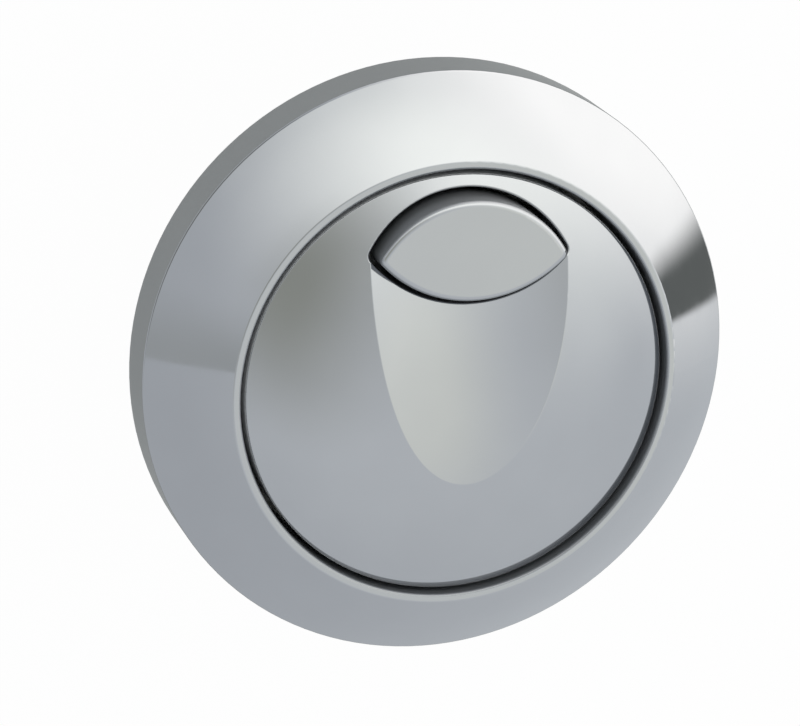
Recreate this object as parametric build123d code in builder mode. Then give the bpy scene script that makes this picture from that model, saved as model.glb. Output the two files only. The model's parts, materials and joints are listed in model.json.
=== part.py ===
from build123d import *
import os
from math import atan2, cos, sin, sqrt

# A dual-flush push button for a cistern lid. The lid's top face is the plane Z = 0, +Z points out
# of the lid towards the finger, and +Y points from the axis to the eye-shaped half-flush button.

# Bezel, a chrome-plated ring that covers the hole in the lid
bezel_diameter = 73.5
bezel_wall = 1.8
lid_gap = 0.4
rim_height = 6.7
rim_round = 0.6
flank_rise = 8.0
flank_crown = 0.25
lip_width = 0.95
lip_round = 0.35

# Full-flush button, a domed disc with a finger scoop
disc_diameter = 52.1
disc_gap = 0.67
disc_drop = 0.85
disc_wall = 1.8
disc_skirt_wall = 1.6
disc_edge_round = 0.3
dome_height = 6.75
full_travel = 5.5
stop_clearance = 0.4

# Half-flush button, a flat eye that stands in a pocket of the disc
eye_width = 25.0
eye_chord_offset = 16.85
eye_outer_rise = 7.7
eye_inner_rise = 5.85
eye_height = 4.75
eye_gap = 0.65
eye_wall = 1.3
eye_roof = 1.6
eye_corner_round = 1.0
eye_edge_round = 0.7
eye_boss_wall = 1.2
pocket_wall = 1.2
pocket_floor = 1.2
hollow_edge_round = 0.2
half_travel = 4.0

# Finger scoop, a saddle: hollow across, arched along its length
scoop_length = 27.65
scoop_depth = 2.8
scoop_arch_radius = 84.0
scoop_inset = 0.1

# Body, the plastic housing with the threaded tail
gasket_thickness = 1.8
gasket_width = 5.0
flange_thickness = 1.6
flange_clearance = 0.4
tail_diameter = 49.0
thread_pitch = 3.0
thread_depth = 0.75
thread_root_width = 2.1
thread_crest_width = 0.75
thread_sink = 0.3
thread_relief = 0.35
tail_wall = 1.65
tail_length = 28.0
neck_length = 4.8
relief_width = 1.0
tail_chamfer = 0.6
web_thickness = 2.0
web_window_radius = 4.5
web_window_offset = 14.0
guide_wall = 1.2
finger_wall = 1.35
finger_height = 5.2
finger_count = 6
finger_slot = 9.0
snap_height = 1.0
snap_depth = 0.6
snap_level = 2.6
snap_clearance = 0.12

# Back nut and its washer, shown clamping a lid of this thickness
lid_thickness = 6.0
washer_thickness = 1.5
washer_inset = 0.3
nut_height = 8.0
nut_flange = 2.0
nut_hub_wall = 2.4
nut_reach = 3.9
grip_count = 12
grip_width = 4.0
nut_chamfer = 0.5
nut_clearance = 0.1

# Plungers, return springs and push rods
full_stem_diameter = 9.0
full_stem_offset = -8.0
half_stem_diameter = 6.5
half_stem_offset = 15.75
stem_end = 30.0
stem_clearance = 0.08
full_plate_length = 27.0
full_plate_width = 15.0
full_plate_thickness = 2.0
full_seat_depth = 7.0
collar_thickness = 1.9
collar_clearance = 0.4
spigot_diameter = 4.0
spigot_clearance = 0.03
bush_length = 1.2
full_spring_length = 24.0
full_spring_wire = 1.1
full_spring_turns = 7
half_spring_length = 9.0
half_spring_wire = 0.7
half_spring_turns = 5
spring_clearance = 0.25
full_guide_above = 4.0
full_guide_below = 6.0
half_guide_below = 6.0
clip_thickness = 1.0
clip_width = 1.8
clip_play = 0.2
groove_depth = 0.8
rod_diameter = 5.0
rod_thread_depth = 0.4
rod_length = 28.0
rod_engagement = 10.0
rod_clearance = 0.1
locknut_flats = 8.0
locknut_height = 4.0
locknut_chamfer = 0.5
screw_spacing = 21.0
screw_head_diameter = 5.0
screw_head_height = 1.8
screw_diameter = 2.4
screw_length = 6.0
screw_clearance = 0.05
screw_boss_wall = 1.5

# Radii and levels that follow from the sizes above
bezel_radius = bezel_diameter / 2
disc_radius = disc_diameter / 2
well_radius = disc_radius + disc_gap
skirt_radius = well_radius + bezel_wall
lip_radius = well_radius + lip_width
rim_level = lid_gap + rim_height
lip_level = rim_level + flank_rise
flange_level = gasket_thickness + flange_thickness
edge_level = lip_level - disc_drop
dome_level = edge_level + dome_height
dome_radius = (disc_radius**2 + dome_height**2) / (2 * dome_height)
dome_centre = dome_level - dome_radius
disc_skirt_level = flange_level + full_travel + stop_clearance

eye_half_width = eye_width / 2
eye_outer_radius = (eye_half_width**2 + eye_outer_rise**2) / (2 * eye_outer_rise)
eye_inner_radius = (eye_half_width**2 + eye_inner_rise**2) / (2 * eye_inner_rise)
eye_outer_centre = eye_chord_offset + eye_outer_rise - eye_outer_radius
eye_inner_centre = eye_chord_offset - eye_inner_rise + eye_inner_radius
eye_tip_outer = eye_outer_radius - eye_corner_round
eye_tip_inner = eye_inner_radius - eye_corner_round
eye_tip_offset = (eye_outer_centre + eye_inner_centre) / 2 + (eye_tip_outer**2 - eye_tip_inner**2) / (
    2 * (eye_inner_centre - eye_outer_centre)
)
eye_tip_reach = sqrt(eye_tip_outer**2 - (eye_tip_offset - eye_outer_centre) ** 2) + eye_corner_round
eye_level = edge_level + eye_height
eye_skirt_level = disc_skirt_level + half_travel
eye_boss_height = eye_level - eye_roof - eye_skirt_level
collar_level = eye_skirt_level - collar_thickness
floor_level = collar_level - half_spring_length
bush_level = floor_level - pocket_floor - bush_length

neck_radius = tail_diameter / 2
core_radius = neck_radius - thread_depth
relief_radius = core_radius - thread_relief
relief_level = gasket_thickness - neck_length
thread_level = relief_level - relief_width
tail_bore = core_radius - tail_wall
flange_radius = bezel_radius - bezel_wall - flange_clearance
gasket_radius = flange_radius - flange_clearance
pocket_radius = tail_bore - stop_clearance - snap_clearance
finger_radius = skirt_radius + snap_clearance

full_stem_radius = full_stem_diameter / 2
half_stem_radius = half_stem_diameter / 2
full_guide_radius = full_stem_radius + stem_clearance + guide_wall
half_guide_radius = half_stem_radius + stem_clearance + guide_wall
full_seat_level = dome_level - full_seat_depth
full_plate_level = full_seat_level - full_plate_thickness
web_level = full_plate_level - full_spring_length
full_guide_level = web_level - web_thickness - full_guide_below
half_guide_level = web_level - web_thickness - half_guide_below
stem_level = -stem_end
rod_radius = rod_diameter / 2
rod_core_radius = rod_radius - rod_thread_depth
screw_radius = screw_diameter / 2
spigot_radius = spigot_diameter / 2
collar_radius = half_stem_offset - (eye_chord_offset - eye_inner_rise) - collar_clearance
full_spring_diameter = 2 * (full_guide_radius + spring_clearance + full_spring_wire)
half_spring_diameter = 2 * (collar_radius + collar_clearance - spring_clearance)
full_clip_level = full_guide_level - clip_play - clip_thickness
half_clip_level = bush_level - clip_play - clip_thickness
nut_bore = neck_radius + nut_clearance
nut_radius = nut_bore + nut_reach
washer_level = -lid_thickness
nut_level = washer_level - washer_thickness


def dome_height_at(distance):
    """Level of the disc's domed face at a distance from the axis."""
    return dome_centre + sqrt(dome_radius**2 - distance**2)


def side_plane(offset):
    """Upright sketch plane through a stem's axis: local X is the radius, local Y is the level."""
    return Plane(origin=(0, offset, 0), x_dir=(1, 0, 0), z_dir=(0, -1, 0))


def eye_outline(level, inset):
    """Eye-shaped face, the overlap of two circles, drawn inside the pocket's edge by the inset."""
    with BuildSketch(Plane.XY.offset(level)) as outline:
        with Locations((0, eye_outer_centre)):
            Circle(eye_outer_radius - inset)
        with Locations((0, eye_inner_centre)):
            Circle(eye_inner_radius - inset, mode=Mode.INTERSECT)
        fillet(outline.vertices(), eye_corner_round)
    return outline.sketch


def scoop_cutter(depth_below):
    """Saddle-shaped solid above the scoop's surface, or above one that lies deeper by depth_below."""
    tip_offset = eye_chord_offset - scoop_length
    tip = Vector(tip_offset, dome_height_at(tip_offset))
    deep = Vector(eye_chord_offset, dome_height_at(eye_chord_offset) - scoop_depth)
    half_chord = (deep - tip) / 2
    drop = sqrt(scoop_arch_radius**2 - half_chord.length**2)
    sideways = Vector(half_chord.Y, -half_chord.X).normalized()
    centre = (tip + deep) / 2 + sideways * drop
    corner_reach = eye_tip_reach - scoop_inset
    corner_level = dome_height_at(sqrt(corner_reach**2 + eye_tip_offset**2))
    hollow = (Vector(eye_tip_offset, corner_level) - centre).length - scoop_arch_radius
    hollow_radius = (corner_reach**2 + hollow**2) / (2 * hollow) + depth_below
    bottom = centre.Y + scoop_arch_radius - depth_below
    half_width = disc_radius
    edge = bottom + hollow_radius - sqrt(hollow_radius**2 - half_width**2)
    top = edge + dome_height
    with BuildPart() as cutter:
        with BuildSketch(side_plane(centre.X)):
            with BuildLine():
                ThreePointArc((-half_width, edge), (0, bottom), (half_width, edge))
                Polyline((half_width, edge), (half_width, top), (-half_width, top), (-half_width, edge))
            make_face()
        revolve(axis=Axis((0, centre.X, centre.Y), (1, 0, 0)))
        split(bisect_by=Plane.XZ.offset(-eye_tip_offset), keep=Keep.TOP)
    return cutter.part


def tail_thread():
    """Helical ridge of the tail's right-hand thread, whose flanks run on a little into the core."""
    low = tail_chamfer - tail_length + thread_root_width
    high = thread_level - thread_root_width
    crest = thread_depth - nut_clearance
    flank_slope = (thread_root_width - thread_crest_width) / 2 / crest
    foot = thread_root_width / 2 + flank_slope * thread_sink
    with BuildPart() as ridge:
        with BuildLine() as helix:
            Helix(thread_pitch, high - low, core_radius, center=(0, 0, low))
        with BuildSketch(Plane(origin=helix.line @ 0, x_dir=(1, 0, 0), z_dir=helix.line % 0)):
            with BuildLine():
                Polyline(
                    (-thread_sink, -foot),
                    (crest, -thread_crest_width / 2),
                    (crest, thread_crest_width / 2),
                    (-thread_sink, foot),
                    close=True,
                )
            make_face()
        sweep(is_frenet=True)
    return ridge.part


# Bezel: rim wall, conical flank, rounded lip and a well whose foot stands on the body's flange
flank_angle = atan2(flank_rise, bezel_radius - lip_radius)
inner_rim_level = rim_level - bezel_wall * (1 - sin(flank_angle)) / cos(flank_angle)
inner_lip_level = (
    lip_level + (sin(flank_angle) * (lip_radius - skirt_radius) - bezel_wall) / cos(flank_angle)
)
groove_low = flange_level + snap_level
groove_high = groove_low + snap_height

with BuildPart() as bezel:
    with BuildSketch(Plane.XZ) as bezel_section:
        with BuildLine():
            SagittaArc((bezel_radius, rim_level), (lip_radius, lip_level), -flank_crown)
            Polyline(
                (lip_radius, lip_level),
                (well_radius, lip_level),
                (well_radius, flange_level),
                (skirt_radius, flange_level),
                (skirt_radius, groove_low),
                (skirt_radius - snap_depth, groove_low),
                (skirt_radius - snap_depth, groove_high),
                (skirt_radius, groove_high),
                (skirt_radius, inner_lip_level),
                (bezel_radius - bezel_wall, inner_rim_level),
                (bezel_radius - bezel_wall, lid_gap),
                (bezel_radius, lid_gap),
                (bezel_radius, rim_level),
            )
        make_face()
        corners = bezel_section.vertices()
        fillet(corners.sort_by_distance((bezel_radius, rim_level))[0], rim_round)
        corners = bezel_section.vertices()
        fillet(corners.sort_by_distance((lip_radius, lip_level))[0], lip_round)
        corners = bezel_section.vertices()
        fillet(corners.sort_by_distance((well_radius, lip_level))[0], lip_round)
    revolve(axis=Axis.Z)
bezel.part.label = "bezel"

# Body: flange, snap fingers, threaded tail and the web that carries both stem guides
with BuildPart() as body:
    with BuildSketch(Plane.XZ):
        with BuildLine():
            Polyline(
                (tail_bore, flange_level),
                (flange_radius, flange_level),
                (flange_radius, gasket_thickness),
                (neck_radius, gasket_thickness),
                (neck_radius, relief_level),
                (relief_radius, relief_level),
                (relief_radius, thread_level),
                (core_radius, thread_level),
                (core_radius, tail_chamfer - tail_length),
                (core_radius - tail_chamfer, -tail_length),
                (tail_bore, -tail_length),
                (tail_bore, flange_level),
            )
        make_face()
    revolve(axis=Axis.Z)
    add(tail_thread())
    with BuildSketch(Plane.XZ):
        with BuildLine():
            Polyline(
                (finger_radius, flange_level),
                (finger_radius + finger_wall, flange_level),
                (finger_radius + finger_wall, flange_level + finger_height),
                (finger_radius, flange_level + finger_height),
                (finger_radius, groove_high - snap_clearance),
                (finger_radius - snap_depth, groove_high - snap_clearance - snap_height / 2),
                (finger_radius - snap_depth, groove_low + snap_clearance),
                (finger_radius, groove_low + snap_clearance),
                (finger_radius, flange_level),
            )
        make_face()
    revolve(axis=Axis.Z)
    with BuildSketch(Plane.XY.offset(flange_level)):
        with PolarLocations(finger_radius, finger_count):
            Rectangle(2 * finger_wall + 2 * snap_depth, finger_slot)
    extrude(amount=finger_height, mode=Mode.SUBTRACT)
    with BuildSketch(Plane.XY.offset(web_level - web_thickness)):
        Circle(tail_bore + tail_wall / 2)
        with Locations((web_window_offset, 0), (-web_window_offset, 0)):
            Circle(web_window_radius, mode=Mode.SUBTRACT)
    extrude(amount=web_thickness)
    with BuildSketch(Plane.XY.offset(full_guide_level)):
        with Locations((0, full_stem_offset)):
            Circle(full_guide_radius)
    extrude(amount=web_level + full_guide_above - full_guide_level)
    with BuildSketch(Plane.XY.offset(half_guide_level)):
        with Locations((0, half_stem_offset)):
            Circle(half_guide_radius)
    extrude(amount=web_level - half_guide_level)
    with Locations((0, full_stem_offset, web_level)):
        Hole(full_stem_radius + stem_clearance)
    with Locations((0, half_stem_offset, web_level)):
        Hole(half_stem_radius + stem_clearance)
body.part.label = "body"

# Foam gasket between the flange and the lid
with BuildPart() as lid_gasket:
    with BuildSketch():
        Circle(gasket_radius)
        Circle(gasket_radius - gasket_width, mode=Mode.SUBTRACT)
    extrude(amount=gasket_thickness)
lid_gasket.part.label = "lid_gasket"

# Full-flush button: domed shell with the scoop, the eye's pocket and the plunger's bosses
with BuildPart() as disc_cavity:
    with BuildSketch(Plane.XZ):
        with BuildLine():
            inner_radius = disc_radius - disc_skirt_wall
            inner_dome = dome_radius - disc_wall
            inner_edge = dome_centre + sqrt(inner_dome**2 - inner_radius**2)
            half_way = inner_radius / 2
            ThreePointArc(
                (inner_radius, inner_edge),
                (half_way, dome_centre + sqrt(inner_dome**2 - half_way**2)),
                (0, dome_centre + inner_dome),
            )
            Polyline(
                (0, dome_centre + inner_dome),
                (0, disc_skirt_level),
                (inner_radius, disc_skirt_level),
                (inner_radius, inner_edge),
            )
        make_face()
    revolve(axis=Axis.Z)
    add(scoop_cutter(disc_wall), mode=Mode.SUBTRACT)
    add(eye_outline(disc_skirt_level, -pocket_wall))
    extrude(amount=dome_level - disc_skirt_level, mode=Mode.SUBTRACT)
    with BuildSketch(Plane.XY.offset(full_seat_level)):
        with Locations((0, full_stem_offset)):
            Circle(full_stem_radius)
            with GridLocations(screw_spacing, 0, 2, 1):
                Circle(screw_radius + screw_clearance + screw_boss_wall)
    extrude(amount=dome_level - full_seat_level, mode=Mode.SUBTRACT)

with BuildPart() as full_flush_button:
    with BuildSketch(Plane.XZ) as disc_section:
        with BuildLine():
            half_way = disc_radius / 2
            ThreePointArc(
                (disc_radius, edge_level), (half_way, dome_height_at(half_way)), (0, dome_level)
            )
            Polyline(
                (0, dome_level),
                (0, disc_skirt_level),
                (disc_radius, disc_skirt_level),
                (disc_radius, edge_level),
            )
        make_face()
        corners = disc_section.vertices()
        fillet(corners.sort_by_distance((disc_radius, edge_level))[0], disc_edge_round)
    revolve(axis=Axis.Z)
    add(scoop_cutter(0), mode=Mode.SUBTRACT)
    add(disc_cavity.part, mode=Mode.SUBTRACT)
    # The pocket's deep half hangs inside the tail and ends in the half plunger's bush
    with BuildSketch(Plane.XY.offset(floor_level - pocket_floor)):
        add(eye_outline(0, -pocket_wall))
        Circle(pocket_radius, mode=Mode.INTERSECT)
    extrude(amount=disc_skirt_level - floor_level + pocket_floor)
    with BuildSketch(Plane.XY.offset(floor_level)):
        add(eye_outline(0, 0))
        Circle(pocket_radius - pocket_wall, mode=Mode.INTERSECT)
    extrude(amount=disc_skirt_level - floor_level, mode=Mode.SUBTRACT)
    add(eye_outline(disc_skirt_level, 0))
    extrude(amount=dome_level - disc_skirt_level, mode=Mode.SUBTRACT)
    # The edges of the pocket and of the scoop are softened together
    hollow_edges = full_flush_button.edges(Select.LAST)
    fillet(hollow_edges.filter_by_position(Axis.Z, edge_level, dome_level), hollow_edge_round)
    with BuildSketch(Plane.XY.offset(bush_level)):
        with Locations((0, half_stem_offset)):
            Circle(half_guide_radius)
    extrude(amount=bush_length)
    with BuildSketch(Plane.XY.offset(bush_level)):
        with Locations((0, half_stem_offset)):
            Circle(half_stem_radius + stem_clearance)
    extrude(amount=bush_length + pocket_floor, mode=Mode.SUBTRACT)
    with BuildSketch(Plane.XY.offset(full_seat_level)):
        with Locations((0, full_stem_offset)):
            with GridLocations(screw_spacing, 0, 2, 1):
                Circle(screw_radius + screw_clearance)
    extrude(amount=screw_length - full_plate_thickness + screw_clearance, mode=Mode.SUBTRACT)
full_flush_button.part.label = "full_flush_button"

# Half-flush button: hollow eye-shaped cap with a boss for its plunger
with BuildPart() as half_flush_button:
    add(eye_outline(eye_skirt_level, eye_gap))
    extrude(amount=eye_level - eye_skirt_level)
    fillet(half_flush_button.faces().sort_by(Axis.Z)[-1].edges(), eye_edge_round)
    add(eye_outline(eye_skirt_level, eye_gap + eye_wall))
    extrude(amount=eye_level - eye_roof - eye_skirt_level, mode=Mode.SUBTRACT)
    with BuildSketch(Plane.XY.offset(eye_skirt_level)):
        with Locations((0, half_stem_offset)):
            Circle(spigot_radius + spigot_clearance + eye_boss_wall)
    extrude(amount=eye_boss_height)
    with BuildSketch(Plane.XY.offset(eye_skirt_level)):
        with Locations((0, half_stem_offset)):
            Circle(spigot_radius + spigot_clearance)
    extrude(amount=eye_boss_height, mode=Mode.SUBTRACT)
half_flush_button.part.label = "half_flush_button"

# Plungers: each stem takes a clip in a groove under its guide and a push rod in its lower end
def stem(offset, radius, top_level, clip_level):
    """Round stem with the clip's groove and the push rod's hole."""
    with BuildPart() as shaft:
        with BuildSketch(Plane.XY.offset(stem_level)):
            with Locations((0, offset)):
                Circle(radius)
        extrude(amount=top_level - stem_level)
        with BuildSketch(Plane.XY.offset(clip_level)):
            with Locations((0, offset)):
                Circle(radius + clip_play)
                Circle(radius - groove_depth, mode=Mode.SUBTRACT)
        extrude(amount=clip_thickness, mode=Mode.SUBTRACT)
        with BuildSketch(Plane.XY.offset(stem_level)):
            with Locations((0, offset)):
                Circle(rod_core_radius + rod_clearance)
        extrude(amount=rod_engagement + rod_clearance, mode=Mode.SUBTRACT)
    return shaft.part


with BuildPart() as full_plunger:
    add(stem(full_stem_offset, full_stem_radius, full_plate_level, full_clip_level))
    with BuildSketch(Plane.XY.offset(full_plate_level)):
        with Locations((0, full_stem_offset)):
            SlotOverall(full_plate_length, full_plate_width)
            with GridLocations(screw_spacing, 0, 2, 1):
                Circle(screw_radius + screw_clearance, mode=Mode.SUBTRACT)
    extrude(amount=full_plate_thickness)
full_plunger.part.label = "full_plunger"

with BuildPart() as half_plunger:
    add(stem(half_stem_offset, half_stem_radius, collar_level, half_clip_level))
    with BuildSketch(Plane.XY.offset(collar_level)):
        with Locations((0, half_stem_offset)):
            Circle(collar_radius)
    extrude(amount=collar_thickness)
    with BuildSketch(Plane.XY.offset(eye_skirt_level)):
        with Locations((0, half_stem_offset)):
            Circle(spigot_radius)
    extrude(amount=eye_boss_height - spigot_clearance)
half_plunger.part.label = "half_plunger"


# Clips, springs, push rods and locknuts come in a full-flush and a half-flush copy
def retaining_clip(name, offset, radius, clip_level):
    """Flat open clip that snaps into a stem's groove."""
    grip = radius - groove_depth + rod_clearance
    with BuildPart() as clip:
        with BuildSketch(Plane.XY.offset(clip_level + rod_clearance / 2)):
            with Locations((0, offset)):
                Circle(radius + clip_width)
                Circle(grip, mode=Mode.SUBTRACT)
            with Locations((radius + clip_width / 2, offset)):
                Rectangle(2 * radius + clip_width, 2 * grip - groove_depth, mode=Mode.SUBTRACT)
        extrude(amount=clip_thickness - rod_clearance)
    clip.part.label = name
    return clip


def return_spring(name, offset, low, length, diameter, wire, turns):
    """Coil spring between two seats."""
    mean_radius = (diameter - wire) / 2
    rise = length - wire - 2 * rod_clearance
    with BuildPart() as spring:
        with BuildLine() as coil:
            Helix(rise / turns, rise, mean_radius, center=(0, offset, low + wire / 2 + rod_clearance))
        with BuildSketch(Plane(origin=coil.line @ 0, z_dir=coil.line % 0)):
            Circle(wire / 2)
        sweep(is_frenet=True)
    spring.part.label = name
    return spring


def push_rod(name, offset):
    """Screwed rod that reaches down to the flush valve."""
    with BuildPart() as rod:
        with BuildSketch(Plane.XY.offset(stem_level + rod_engagement)):
            with Locations((0, offset)):
                Circle(rod_core_radius)
        extrude(amount=-rod_length)
        chamfer(rod.edges().sort_by(Axis.Z)[0], rod_thread_depth)
    rod.part.label = name
    return rod


def round_blank(offset, radius):
    """Turned disc with chamfered ends, which takes the sharp corners off a hexagon nut."""
    with BuildPart() as blank:
        with BuildSketch(Plane.XY.offset(stem_level)):
            with Locations((0, offset)):
                Circle(radius)
        extrude(amount=-locknut_height)
        chamfer(blank.edges().filter_by(GeomType.CIRCLE), locknut_chamfer / 2, locknut_chamfer)
    return blank.part


def locknut(name, offset):
    """Hexagon nut that locks a push rod against its stem."""
    with BuildPart() as nut:
        with BuildSketch(Plane.XY.offset(stem_level)):
            with Locations((0, offset)):
                RegularPolygon(locknut_flats / 2, 6, major_radius=False)
        extrude(amount=-locknut_height)
        add(round_blank(offset, locknut_flats / sqrt(3)), mode=Mode.INTERSECT)
        with Locations((0, offset, stem_level)):
            Hole(rod_radius + rod_clearance)
    nut.part.label = name
    return nut


full_retaining_clip = retaining_clip(
    "full_retaining_clip", full_stem_offset, full_stem_radius, full_clip_level
)
half_retaining_clip = retaining_clip(
    "half_retaining_clip", half_stem_offset, half_stem_radius, half_clip_level
)
full_return_spring = return_spring(
    "full_return_spring",
    full_stem_offset,
    web_level,
    full_spring_length,
    full_spring_diameter,
    full_spring_wire,
    full_spring_turns,
)
half_return_spring = return_spring(
    "half_return_spring",
    half_stem_offset,
    floor_level,
    half_spring_length,
    half_spring_diameter,
    half_spring_wire,
    half_spring_turns,
)
full_push_rod = push_rod("full_push_rod", full_stem_offset)
half_push_rod = push_rod("half_push_rod", half_stem_offset)
full_locknut = locknut("full_locknut", full_stem_offset)
half_locknut = locknut("half_locknut", half_stem_offset)

# Two screws that hold the full plunger's plate to the disc's bosses
with BuildPart() as full_plunger_screws:
    with Locations((0, full_stem_offset, full_plate_level)):
        with GridLocations(screw_spacing, 0, 2, 1):
            Cylinder(
                screw_head_diameter / 2, screw_head_height, align=(Align.CENTER, Align.CENTER, Align.MAX)
            )
            Cylinder(screw_radius, screw_length, align=(Align.CENTER, Align.CENTER, Align.MIN))
full_plunger_screws.part.label = "full_plunger_screws"

# Washer and back nut that clamp the lid from below
with BuildPart() as nut_washer:
    with BuildSketch(Plane.XY.offset(nut_level)):
        Circle(nut_radius - washer_inset)
        Circle(nut_bore, mode=Mode.SUBTRACT)
    extrude(amount=washer_thickness)
nut_washer.part.label = "nut_washer"

with BuildPart() as backnut:
    with BuildSketch(Plane.XY.offset(nut_level)):
        Circle(nut_radius)
    extrude(amount=-nut_flange)
    with BuildSketch(Plane.XY.offset(nut_level)):
        Circle(nut_bore + nut_hub_wall)
        with PolarLocations(nut_bore + nut_reach / 2, grip_count):
            Rectangle(nut_reach, grip_width)
    extrude(amount=-nut_height)
    with BuildSketch(Plane.XY.offset(nut_level)):
        Circle(nut_bore)
    extrude(amount=-nut_height, mode=Mode.SUBTRACT)
    chamfer(backnut.faces().sort_by(Axis.Z)[0].edges(), nut_chamfer)
backnut.part.label = "backnut"

os.makedirs("parts", exist_ok=True)
pieces = (
    bezel,
    body,
    lid_gasket,
    nut_washer,
    backnut,
    full_flush_button,
    full_plunger,
    full_plunger_screws,
    full_return_spring,
    full_retaining_clip,
    full_push_rod,
    full_locknut,
    half_flush_button,
    half_plunger,
    half_return_spring,
    half_retaining_clip,
    half_push_rod,
    half_locknut,
)
for piece in pieces:
    export_step(piece.part, f"parts/{piece.part.label}.step")
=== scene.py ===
import json
from math import cos, pi, radians, sin

import bpy
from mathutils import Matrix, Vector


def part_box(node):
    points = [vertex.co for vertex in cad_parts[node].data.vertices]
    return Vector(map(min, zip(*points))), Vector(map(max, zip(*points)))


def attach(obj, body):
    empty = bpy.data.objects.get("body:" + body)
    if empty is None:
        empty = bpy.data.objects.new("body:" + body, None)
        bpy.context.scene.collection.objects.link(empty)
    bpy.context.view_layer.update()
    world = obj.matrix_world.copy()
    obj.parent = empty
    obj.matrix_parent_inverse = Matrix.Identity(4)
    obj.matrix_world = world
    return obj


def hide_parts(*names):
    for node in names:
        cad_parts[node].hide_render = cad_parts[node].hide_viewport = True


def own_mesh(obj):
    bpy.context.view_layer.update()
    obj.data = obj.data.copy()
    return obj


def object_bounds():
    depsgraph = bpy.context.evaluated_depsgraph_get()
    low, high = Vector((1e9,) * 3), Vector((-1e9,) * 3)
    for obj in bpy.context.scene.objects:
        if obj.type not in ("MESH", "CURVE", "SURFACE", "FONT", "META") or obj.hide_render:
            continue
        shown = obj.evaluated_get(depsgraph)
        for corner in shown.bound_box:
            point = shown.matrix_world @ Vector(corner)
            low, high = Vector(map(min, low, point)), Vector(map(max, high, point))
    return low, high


# A dual-flush push button for a cistern lid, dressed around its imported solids: finishes, wound springs,
# screw threads, a pale studio and the camera. Everything is in metres.

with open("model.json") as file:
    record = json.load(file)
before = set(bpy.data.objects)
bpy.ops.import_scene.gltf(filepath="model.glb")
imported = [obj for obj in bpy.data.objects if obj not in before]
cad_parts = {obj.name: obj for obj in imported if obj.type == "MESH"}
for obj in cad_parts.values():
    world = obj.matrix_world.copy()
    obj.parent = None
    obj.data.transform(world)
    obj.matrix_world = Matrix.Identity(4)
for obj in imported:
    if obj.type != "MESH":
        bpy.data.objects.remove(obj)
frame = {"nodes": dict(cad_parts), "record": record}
cad_low, cad_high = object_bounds()
nodes = frame["nodes"]

# Screw threads; the tail's own ridge is at zero angle at its start level. The root and the crest are shares
# of the pitch, and a ridge ends at the least share of its height.
tail_pitch = 0.003
tail_thread_start = -0.0253
nut_crest_radius = 0.02395
nut_root_radius = 0.02465
rod_pitch = 0.0008
rod_core_radius = 0.0021
rod_crest_radius = 0.00248
thread_root_share = 0.72
thread_crest_share = 0.24
thread_fade_turns = 0.5
thread_least_share = 0.02
thread_steps = 64

# Coil springs
full_spring_wire = 0.0011
full_spring_turns = 5.5
half_spring_wire = 0.0007
half_spring_turns = 4.0
dead_turns = 1.0
spring_steps = 40
wire_sides = 12

# Smooth pieces keep the edges that are sharper than this, in degrees
sharp_edge = 40

# Textures are read between these values
texture_low = 0.3
texture_high = 0.7

# Bright plating
chrome_dark = (0.545, 0.555, 0.57)
chrome_light = (0.56, 0.57, 0.585)
chrome_gloss = (0.05, 0.09)

# Thinner plating and painted shade on the walls of the gaps, in zones by the distance from the axis: the
# walls of the eye and its pocket, the disc's edge, and the wall of the bezel's well, which ends in the lip.
# The dark grey of the pocket and the well is painted shade, which fades out over the inner edge of the lip;
# the pale, nearly matte disc's edge is painted light that lifts the dark gap. The cover is the share of
# metal.
# Dark grey of the pocket's and the well's walls: painted shade in the gaps
pocket_wall_painted_shade = (0.30, 0.31, 0.325)
pocket_wall_cover = 0.8
# The disc's edge is painted light: pale and nearly matte, it lifts the dark gap around the disc
disc_edge_from = 0.0253
disc_edge_painted_light = (0.80, 0.81, 0.815)
disc_edge_cover = 0.1
well_wall_from = 0.0264
well_wall_painted_shade = (0.24, 0.25, 0.27)
well_wall_cover = 0.6
lip_edge_from = 0.0267
lip_from = 0.0271
thin_roughness = 0.38

# A surface is taken for a wall by the upward part of its normal
wall_from = 0.84
wall_full = 0.45

# Floor and backdrop: white to the eye and a little in mirrors; the floor is grey in the light it throws back
floor_radius = 0.12
floor_gap = 0.0002
floor_sides = 96
floor_white = 0.97
floor_seen = (0.9, 0.9, 0.9)
floor_bounce = (0.43, 0.44, 0.44)
backdrop_white = 1.0
mirrored_white = 0.08

# The grey room that the plating mirrors, with soft patches round their directions, laid over one another in
# this order: a light overhead, a darker side, the glow of a window, the window, a shaded part of the ceiling
# and a low dark skirting
room_colour = (0.686, 0.718, 0.749)
overhead = {
    "colour": (0.895, 0.916, 0.865),
    "direction": (0.499, -0.069, 0.864),
    "full": 0.134,
    "gone": 0.554,
    "tall": 0.40,
}
dark_side = {
    "colour": (0.522, 0.552, 0.589),
    "direction": (-0.959, -0.223, -0.174),
    "full": 0.8,
    "gone": 2.3,
    "tall": 0.52,
}
window_glow = {
    "colour": (1.586, 1.601, 1.533),
    "direction": (0.320, 0.774, 0.546),
    "full": 0.11,
    "gone": 1.354,
    "tall": 0.42,
}
window = {
    "colour": (1.745, 1.714, 1.667),
    "direction": (0.752, 0.640, -0.157),
    "full": 0.38,
    "gone": 1.118,
    "tall": 0.80,
}
ceiling_shade = {
    "colour": (0.339, 0.354, 0.318),
    "direction": (-0.501, 0.221, 0.837),
    "full": 0.039,
    "gone": 0.898,
    "tall": 0.38,
}
skirting = {
    "colour": (0.152, 0.163, 0.152),
    "direction": (-0.863, 0.498, -0.087),
    "full": 0.5,
    "gone": 0.9,
    "tall": 0.3,
}

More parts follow.
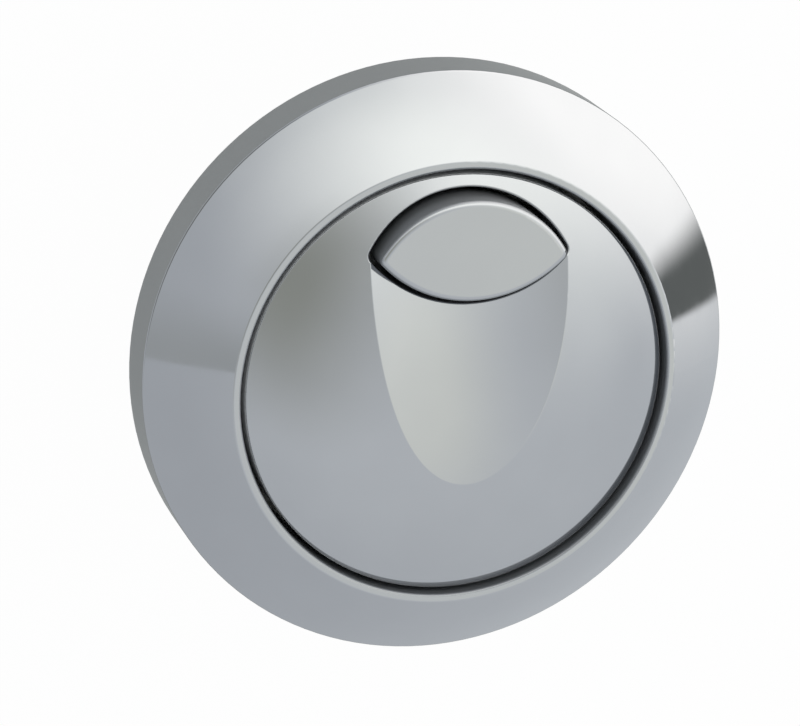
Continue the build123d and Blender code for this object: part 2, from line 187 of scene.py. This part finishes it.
# Over the patches, two panels of the side walls: a dark doorway and a corner. Each limit is a pair of places,
# where the panel is gone and where it is full.
doorway = {
    "colour": (0.098, 0.109, 0.103),
    "side": 1,
    "crisp": (-0.148, -0.118),
    "soft": (0.14, 0.0),
    "lean": 0.12,
    "top": (0.10, 0.06),
    "foot": (-0.42, -0.30),
}
corner = {
    "colour": (0.425, 0.450, 0.462),
    "side": -1,
    "crisp": (-0.247, -0.235),
    "soft": (0.14, -0.22),
    "lean": 0.092,
    "top": (0.75, 0.55),
    "foot": (0.0, 0.2),
}
side_gone = 0.5
side_full = 0.6

# Camera, with its turns in degrees and its lens in millimetres
camera_place = (-0.1349, 0.1368, 0.4073)
camera_turn = (-18.79, -17.12, 2.81)
camera_lens = 164.65
camera_sensor = 36.0
camera_near = 0.01


def new_material(name):
    """Material with a Principled shader; returns it with its node tree and the shader node."""
    material = bpy.data.materials.new(name)
    material.use_nodes = True
    tree = material.node_tree
    return material, tree, tree.nodes["Principled BSDF"]


def add_node(tree, kind, **settings):
    """Node of that kind; settings name its sockets, or its own properties."""
    node = tree.nodes.new(kind)
    for key, value in settings.items():
        if key in node.inputs:
            node.inputs[key].default_value = value
        else:
            setattr(node, key, value)
    return node


def noise(tree, scale, detail=4.0, stretch=(1, 1, 1)):
    """Noise over the object's own coordinates, in features per metre."""
    place = tree.nodes.new("ShaderNodeTexCoord")
    spread = add_node(tree, "ShaderNodeMapping", Scale=stretch)
    grain = add_node(tree, "ShaderNodeTexNoise", Scale=scale, Detail=detail)
    tree.links.new(place.outputs["Object"], spread.inputs["Vector"])
    tree.links.new(spread.outputs["Vector"], grain.inputs["Vector"])
    return grain.outputs["Fac"]


def vary(tree, source, socket, low, high):
    """Feeds a shader's number from a texture, between two limits."""
    limits = tree.nodes.new("ShaderNodeMapRange")
    limits.inputs["From Min"].default_value = texture_low
    limits.inputs["From Max"].default_value = texture_high
    limits.inputs["To Min"].default_value = low
    limits.inputs["To Max"].default_value = high
    tree.links.new(source, limits.inputs["Value"])
    tree.links.new(limits.outputs["Result"], socket)


def blend_colours(tree, source, socket, first, second):
    """Feeds a shader's colour from a texture, between two close colours."""
    band = tree.nodes.new("ShaderNodeValToRGB")
    band.color_ramp.elements[0].position = texture_low
    band.color_ramp.elements[0].color = (*first, 1)
    band.color_ramp.elements[1].position = texture_high
    band.color_ramp.elements[1].color = (*second, 1)
    tree.links.new(source, band.inputs["Fac"])
    tree.links.new(band.outputs["Color"], socket)


def roughen(tree, shader, source, depth, strength):
    """Bump of a real depth from a texture."""
    bump = add_node(tree, "ShaderNodeBump", Distance=depth, Strength=strength)
    tree.links.new(source, bump.inputs["Height"])
    tree.links.new(bump.outputs["Normal"], shader.inputs["Normal"])


def soft_share(tree, source, gone, full):
    """Soft share of a number: none at one value and full at another."""
    fade = add_node(tree, "ShaderNodeMapRange", interpolation_type="SMOOTHSTEP")
    fade.inputs["From Min"].default_value = gone
    fade.inputs["From Max"].default_value = full
    tree.links.new(source, fade.inputs["Value"])
    return fade.outputs["Result"]


def thin_plating_and_painted_shade(tree):
    """Share of thinner plating and painted shade, which is one on the walls of the gaps, and the distance
    from the axis.

    The whole inner edge of the well counts as a wall, and its painted shade fades out from there to the lip,
    where the plating is full.
    """
    shape = tree.nodes.new("ShaderNodeNewGeometry")
    facing = tree.nodes.new("ShaderNodeSeparateXYZ")
    level = add_node(tree, "ShaderNodeMath", operation="ABSOLUTE")
    upright = tree.nodes.new("ShaderNodeMapRange")
    upright.inputs["From Min"].default_value = wall_from
    upright.inputs["From Max"].default_value = wall_full
    place = tree.nodes.new("ShaderNodeTexCoord")
    across = add_node(tree, "ShaderNodeVectorMath", operation="MULTIPLY")
    across.inputs[1].default_value = (1, 1, 0)
    radius = add_node(tree, "ShaderNodeVectorMath", operation="LENGTH")
    outermost = add_node(tree, "ShaderNodeMath", operation="GREATER_THAN")
    outermost.inputs[1].default_value = well_wall_from
    wall = add_node(tree, "ShaderNodeMath", operation="MAXIMUM")
    share = add_node(tree, "ShaderNodeMath", operation="MULTIPLY")
    tree.links.new(shape.outputs["Normal"], facing.inputs[0])
    tree.links.new(facing.outputs["Z"], level.inputs[0])
    tree.links.new(level.outputs[0], upright.inputs["Value"])
    tree.links.new(place.outputs["Object"], across.inputs[0])
    tree.links.new(across.outputs["Vector"], radius.inputs[0])
    tree.links.new(radius.outputs["Value"], outermost.inputs[0])
    tree.links.new(upright.outputs["Result"], wall.inputs[0])
    tree.links.new(outermost.outputs[0], wall.inputs[1])
    tree.links.new(wall.outputs[0], share.inputs[0])
    tree.links.new(soft_share(tree, radius.outputs["Value"], lip_from, lip_edge_from), share.inputs[1])
    return share.outputs[0], radius.outputs["Value"]


def gap_zones(tree, radius):
    """Colour and metal cover of the thinner plating with its painted shade and painted light, by the distance
    from the axis.
    """
    reach = add_node(tree, "ShaderNodeMath", operation="DIVIDE")
    reach.inputs[1].default_value = lip_from
    zones = tree.nodes.new("ShaderNodeValToRGB")
    zones.color_ramp.interpolation = "CONSTANT"
    zones.color_ramp.elements[0].color = (*pocket_wall_painted_shade, pocket_wall_cover)
    zones.color_ramp.elements[1].position = well_wall_from / lip_from
    zones.color_ramp.elements[1].color = (*well_wall_painted_shade, well_wall_cover)
    disc_edge = zones.color_ramp.elements.new(disc_edge_from / lip_from)
    disc_edge.color = (*disc_edge_painted_light, disc_edge_cover)
    tree.links.new(radius, reach.inputs[0])
    tree.links.new(reach.outputs[0], zones.inputs["Fac"])
    return zones.outputs["Color"], zones.outputs["Alpha"]


def chrome():
    """Bright plating with faint clouding and wiping marks in its gloss, duller where it is thinner, with
    painted shade on the walls of the gaps and painted light on the disc's edge.
    """
    material, tree, shader = new_material("chrome_plating")
    thin_and_shaded, radius = thin_plating_and_painted_shade(tree)
    painted_gap_colour, painted_gap_cover = gap_zones(tree, radius)
    cover = tree.nodes.new("ShaderNodeMix")
    cover.inputs["A"].default_value = 1.0
    tree.links.new(painted_gap_cover, cover.inputs["B"])
    tree.links.new(thin_and_shaded, cover.inputs["Factor"])
    tree.links.new(cover.outputs["Result"], shader.inputs["Metallic"])
    tint = tree.nodes.new("ShaderNodeMixRGB")
    clouds = noise(tree, scale=120)
    blend_colours(tree, clouds, tint.inputs["Color1"], chrome_dark, chrome_light)
    tree.links.new(painted_gap_colour, tint.inputs["Color2"])
    tree.links.new(thin_and_shaded, tint.inputs["Fac"])
    tree.links.new(tint.outputs["Color"], shader.inputs["Base Color"])
    gloss = tree.nodes.new("ShaderNodeMix")
    gloss.inputs["B"].default_value = thin_roughness
    wiping = noise(tree, scale=700, detail=6.0, stretch=(1.0, 0.12, 1.0))
    vary(tree, wiping, gloss.inputs["A"], *chrome_gloss)
    tree.links.new(thin_and_shaded, gloss.inputs["Factor"])
    tree.links.new(gloss.outputs["Result"], shader.inputs["Roughness"])
    return material


def moulded(name, dark, light, roughness, grain_depth):
    """Moulded plastic or rubber with a fine grained skin; its roughness lies between two limits."""
    material, tree, shader = new_material(name)
    blend_colours(tree, noise(tree, scale=90), shader.inputs["Base Color"], dark, light)
    vary(tree, noise(tree, scale=400), shader.inputs["Roughness"], *roughness)
    roughen(tree, shader, noise(tree, scale=4500, detail=2.0), depth=grain_depth, strength=0.5)
    return material


def foam(dark, light, roughness, cell_depth):
    """Closed-cell foam: cut cells all over the skin."""
    material, tree, shader = new_material("closed_cell_foam")
    place = tree.nodes.new("ShaderNodeTexCoord")
    cells = add_node(tree, "ShaderNodeTexVoronoi", Scale=1800)
    tree.links.new(place.outputs["Object"], cells.inputs["Vector"])
    blend_colours(tree, cells.outputs["Distance"], shader.inputs["Base Color"], dark, light)
    shader.inputs["Roughness"].default_value = roughness
    roughen(tree, shader, cells.outputs["Distance"], depth=cell_depth, strength=0.8)
    return material


def steel(dark, light, roughness):
    """Drawn and stamped spring steel with a light grain."""
    material, tree, shader = new_material("spring_steel")
    shader.inputs["Metallic"].default_value = 1.0
    blend_colours(tree, noise(tree, scale=300), shader.inputs["Base Color"], dark, light)
    grain = noise(tree, scale=2500, detail=3.0, stretch=(1.0, 1.0, 0.2))
    vary(tree, grain, shader.inputs["Roughness"], *roughness)
    return material


finishes = {
    "chrome": chrome(),
    "white_abs": moulded(
        "white_abs",
        dark=(0.80, 0.80, 0.78),
        light=(0.85, 0.85, 0.83),
        roughness=(0.34, 0.46),
        grain_depth=0.00004,
    ),
    "foam": foam(
        dark=(0.03, 0.03, 0.033),
        light=(0.075, 0.075, 0.08),
        roughness=0.92,
        cell_depth=0.0002,
    ),
    "rubber": moulded(
        "washer_rubber",
        dark=(0.07, 0.07, 0.074),
        light=(0.11, 0.11, 0.115),
        roughness=(0.58, 0.75),
        grain_depth=0.00006,
    ),
    "acetal": moulded(
        "acetal",
        dark=(0.69, 0.71, 0.73),
        light=(0.74, 0.76, 0.78),
        roughness=(0.28, 0.38),
        grain_depth=0.00002,
    ),
    "nylon": moulded(
        "nylon",
        dark=(0.77, 0.76, 0.70),
        light=(0.82, 0.81, 0.76),
        roughness=(0.38, 0.5),
        grain_depth=0.00003,
    ),
    "dark_nylon": moulded(
        "dark_nylon",
        dark=(0.085, 0.085, 0.095),
        light=(0.12, 0.12, 0.13),
        roughness=(0.4, 0.55),
        grain_depth=0.00004,
    ),
    "spring_steel": steel(
        dark=(0.56, 0.56, 0.565),
        light=(0.64, 0.64, 0.65),
        roughness=(0.22, 0.4),
    ),
}

# Every solid takes the finish of its slot in the record
for part in frame["record"]["subparts"]:
    slots = nodes[part["node"]].data.materials
    slots.clear()
    slots.append(finishes[part["material_slot"]])


def add_piece(name, vertices, faces, body, slot):
    """Smooth mesh that rides on a body and takes its finish from a slot."""
    mesh = bpy.data.meshes.new(name)
    mesh.from_pydata(vertices, [], faces)
    mesh.validate()
    mesh.polygons.foreach_set("use_smooth", [True] * len(mesh.polygons))
    mesh.set_sharp_from_angle(angle=radians(sharp_edge))
    mesh.materials.append(finishes[slot])
    piece = bpy.data.objects.new(name, mesh)
    bpy.context.scene.collection.objects.link(piece)
    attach(piece, body)
    return piece


def tube_faces(rings, around):
    """Faces of a closed tube of rings, with a cap at each end."""
    faces = []
    for ring in range(rings - 1):
        for step in range(around):
            beside = (step + 1) % around
            low = ring * around
            high = low + around
            faces.append((low + step, low + beside, high + beside, high + step))
    faces.append(tuple(reversed(range(around))))
    faces.append(tuple((rings - 1) * around + step for step in range(around)))
    return faces


def add_spring(node, body, wire, turns):
    """Wound spring in place of a plain coil: each end turn lies closed and is ground flat."""
    low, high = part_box(node)
    length = high.z - low.z
    centre_x = (low.x + high.x) / 2
    centre_y = (low.y + high.y) / 2
    mean_radius = (high.x - low.x - wire) / 2
    rings = int((turns + 2 * dead_turns) * spring_steps) + 1
    open_rise = length - wire - 2 * dead_turns * wire
    vertices = []
    for ring in range(rings):
        turn = ring / spring_steps
        below = min(turn, dead_turns)
        above = max(turn - dead_turns - turns, 0)
        opened = turn - below - above
        level = low.z + wire / 2 + (below + above) * wire + opened / turns * open_rise
        angle = 2 * pi * turn
        for step in range(wire_sides):
            lean = 2 * pi * step / wire_sides
            reach = mean_radius + wire / 2 * cos(lean)
            rise = min(max(level + wire / 2 * sin(lean), low.z), high.z)
            vertices.append((centre_x + reach * cos(angle), centre_y + reach * sin(angle), rise))
    faces = [tuple(reversed(face)) for face in tube_faces(rings, wire_sides)]
    spring = add_piece(node + "_wound", vertices, faces, body, "spring_steel")
    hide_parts(node)
    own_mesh(spring)


def add_thread(name, body, slot, centre_y, root, crest, pitch, bottom, top, phase):
    """Helical ridge from a root radius to a crest radius, which fades out at both ends."""
    turns = (top - bottom) / pitch - thread_root_share
    rings = int(turns * thread_steps) + 1
    start = bottom + pitch * thread_root_share / 2
    vertices = []
    for ring in range(rings):
        turn = ring / thread_steps
        fade = min(1.0, turn / thread_fade_turns, (turns - turn) / thread_fade_turns)
        angle = 2 * pi * (turn + phase + start / pitch)
        level = start + pitch * turn
        tip = root + (crest - root) * max(fade, thread_least_share)
        section = (
            (root, -thread_root_share),
            (tip, -thread_crest_share),
            (tip, thread_crest_share),
            (root, thread_root_share),
        )
        for radius, share in section:
            height = level + share * pitch / 2
            vertices.append((radius * cos(angle), centre_y + radius * sin(angle), height))
    corners = len(vertices) // rings
    add_piece(name, vertices, tube_faces(rings, corners), body, slot)


# Springs, which ride on their bodies
add_spring(
    "full_return_spring", "housing", full_spring_wire, full_spring_turns,
)
add_spring(
    "half_return_spring", "full_button", half_spring_wire, half_spring_turns,
)

# Thread in the nut; its ridge runs in the groove of the tail's thread, half a turn from the tail's ridge
nut_low, nut_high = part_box("backnut")
groove_phase = 0.5 - tail_thread_start / tail_pitch
add_thread(
    "backnut_thread", "backnut", "white_abs", 0.0, nut_root_radius, nut_crest_radius,
    tail_pitch, nut_low.z, nut_high.z, groove_phase,
)

# Threads on both push rods, from the chamfer at the foot up to the top of the locknut
rod_chamfer = rod_crest_radius - rod_core_radius
for name, body in (("full", "full_button"), ("half", "half_button")):
    rod_low, rod_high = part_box(name + "_push_rod")
    _, locknut_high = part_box(name + "_locknut")
    add_thread(
        name + "_rod_thread", body, "nylon", (rod_low.y + rod_high.y) / 2, rod_core_radius, rod_crest_radius,
        rod_pitch, rod_low.z + rod_chamfer, locknut_high.z, 0.0,
    )


def eye_rays(tree):
    """One for a ray from the eye, also through glass, and none for another."""
    ray = tree.nodes.new("ShaderNodeLightPath")
    eye = add_node(tree, "ShaderNodeMath", operation="ADD")
    tree.links.new(ray.outputs["Is Camera Ray"], eye.inputs[0])
    tree.links.new(ray.outputs["Is Transmission Ray"], eye.inputs[1])
    return eye.outputs[0]


def white_share(tree, eye, seen_white):
    """Share of white that a ray meets: much of it from the eye and a little from a mirror."""
    ray = tree.nodes.new("ShaderNodeLightPath")
    seen = add_node(tree, "ShaderNodeMath", operation="MULTIPLY")
    seen.inputs[1].default_value = seen_white
    white = add_node(tree, "ShaderNodeMath", operation="MULTIPLY_ADD")
    white.inputs[1].default_value = mirrored_white
    tree.links.new(eye, seen.inputs[0])
    tree.links.new(ray.outputs["Is Glossy Ray"], white.inputs[0])
    tree.links.new(seen.outputs[0], white.inputs[2])
    return white.outputs[0]


def floor_material():
    """Pale paint, nearly white to the eye, which still takes the shadow."""
    material = bpy.data.materials.new("pale_floor")
    material.use_nodes = True
    tree = material.node_tree
    tree.nodes.clear()
    eye = eye_rays(tree)
    coat = add_node(tree, "ShaderNodeMixRGB", Color1=(*floor_bounce, 1), Color2=(*floor_seen, 1))
    paint = tree.nodes.new("ShaderNodeBsdfDiffuse")
    glow = add_node(tree, "ShaderNodeEmission", Color=(1, 1, 1, 1), Strength=1.0)
    mix = tree.nodes.new("ShaderNodeMixShader")
    output = tree.nodes.new("ShaderNodeOutputMaterial")
    tree.links.new(eye, coat.inputs["Fac"])
    tree.links.new(coat.outputs["Color"], paint.inputs["Color"])
    tree.links.new(white_share(tree, eye, floor_white), mix.inputs["Fac"])
    tree.links.new(paint.outputs[0], mix.inputs[1])
    tree.links.new(glow.outputs[0], mix.inputs[2])
    tree.links.new(mix.outputs[0], output.inputs["Surface"])
    return material


def add_floor():
    """Round pale floor just under the push rods."""
    level = cad_low.z - floor_gap
    rim = [2 * pi * step / floor_sides for step in range(floor_sides)]
    mesh = bpy.data.meshes.new("floor")
    mesh.from_pydata(
        [(floor_radius * cos(angle), floor_radius * sin(angle), level) for angle in rim],
        [],
        [tuple(range(floor_sides))],
    )
    mesh.materials.append(floor_material())
    floor = bpy.data.objects.new("floor", mesh)
    bpy.context.scene.collection.objects.link(floor)


def lay_over(tree, under, colour, share):
    """Colour laid by a share over what lies under it, which is the bare room when nothing does yet."""
    mix = add_node(tree, "ShaderNodeMixRGB", Color1=(*room_colour, 1), Color2=(*colour, 1))
    tree.links.new(share, mix.inputs["Fac"])
    if under is not None:
        tree.links.new(under, mix.inputs["Color1"])
    return mix.outputs["Color"]


def add_patch(tree, under, colour, direction, full, gone, tall):
    """Soft patch of the room, full up to one distance from its direction and gone at another."""
    place = tree.nodes.new("ShaderNodeTexCoord")
    away = add_node(tree, "ShaderNodeVectorMath", operation="SUBTRACT")
    away.inputs[1].default_value = direction
    stretch = add_node(tree, "ShaderNodeVectorMath", operation="MULTIPLY")
    stretch.inputs[1].default_value = (1, 1, 1 / tall)
    distance = add_node(tree, "ShaderNodeVectorMath", operation="LENGTH")
    tree.links.new(place.outputs["Generated"], away.inputs[0])
    tree.links.new(away.outputs["Vector"], stretch.inputs[0])
    tree.links.new(stretch.outputs["Vector"], distance.inputs[0])
    return lay_over(tree, under, colour, soft_share(tree, distance.outputs["Value"], gone, full))


def add_panel(tree, under, colour, side, crisp, soft, lean, top, foot):
    """Panel of a side wall between a crisp and a soft edge, which both lean, a top and a foot."""
    place = tree.nodes.new("ShaderNodeTexCoord")
    parts = tree.nodes.new("ShaderNodeSeparateXYZ")
    across = add_node(tree, "ShaderNodeMath", operation="MULTIPLY_ADD")
    across.inputs[1].default_value = -lean
    tree.links.new(place.outputs["Generated"], parts.inputs[0])
    tree.links.new(parts.outputs["Z"], across.inputs[0])
    tree.links.new(parts.outputs["Y"], across.inputs[2])
    share = soft_share(tree, parts.outputs["X"], side_gone * side, side_full * side)
    limits = (
        (across.outputs[0], crisp),
        (across.outputs[0], soft),
        (parts.outputs["Z"], top),
        (parts.outputs["Z"], foot),
    )
    for source, (gone, full) in limits:
        both = add_node(tree, "ShaderNodeMath", operation="MULTIPLY")
        tree.links.new(share, both.inputs[0])
        tree.links.new(soft_share(tree, source, gone, full), both.inputs[1])
        share = both.outputs[0]
    return lay_over(tree, under, colour, share)


def add_sky():
    """World with the grey room for the light and the mirrors, and the white backdrop for the eye."""
    world = bpy.data.worlds.new("studio")
    bpy.context.scene.world = world
    world.use_nodes = True
    tree = world.node_tree
    light = None
    for patch in (overhead, dark_side, window_glow, window, ceiling_shade, skirting):
        light = add_patch(tree, light, **patch)
    for panel in (doorway, corner):
        light = add_panel(tree, light, **panel)
    room = tree.nodes["Background"]
    backdrop = add_node(tree, "ShaderNodeBackground", Color=(1, 1, 1, 1), Strength=1.0)
    mix = tree.nodes.new("ShaderNodeMixShader")
    tree.links.new(light, room.inputs["Color"])
    tree.links.new(white_share(tree, eye_rays(tree), backdrop_white), mix.inputs["Fac"])
    tree.links.new(room.outputs[0], mix.inputs[1])
    tree.links.new(backdrop.outputs[0], mix.inputs[2])
    tree.links.new(mix.outputs[0], tree.nodes["World Output"].inputs["Surface"])


def add_camera():
    """Camera at the place from which the button was seen."""
    camera = bpy.data.objects.new("camera", bpy.data.cameras.new("camera"))
    bpy.context.scene.collection.objects.link(camera)
    camera.location = camera_place
    camera.rotation_euler = [radians(turn) for turn in camera_turn]
    camera.data.lens = camera_lens
    camera.data.sensor_width = camera_sensor
    camera.data.clip_start = camera_near
    bpy.context.scene.camera = camera


add_floor()
add_sky()
add_camera()
bpy.context.scene.view_settings.view_transform = "Standard"
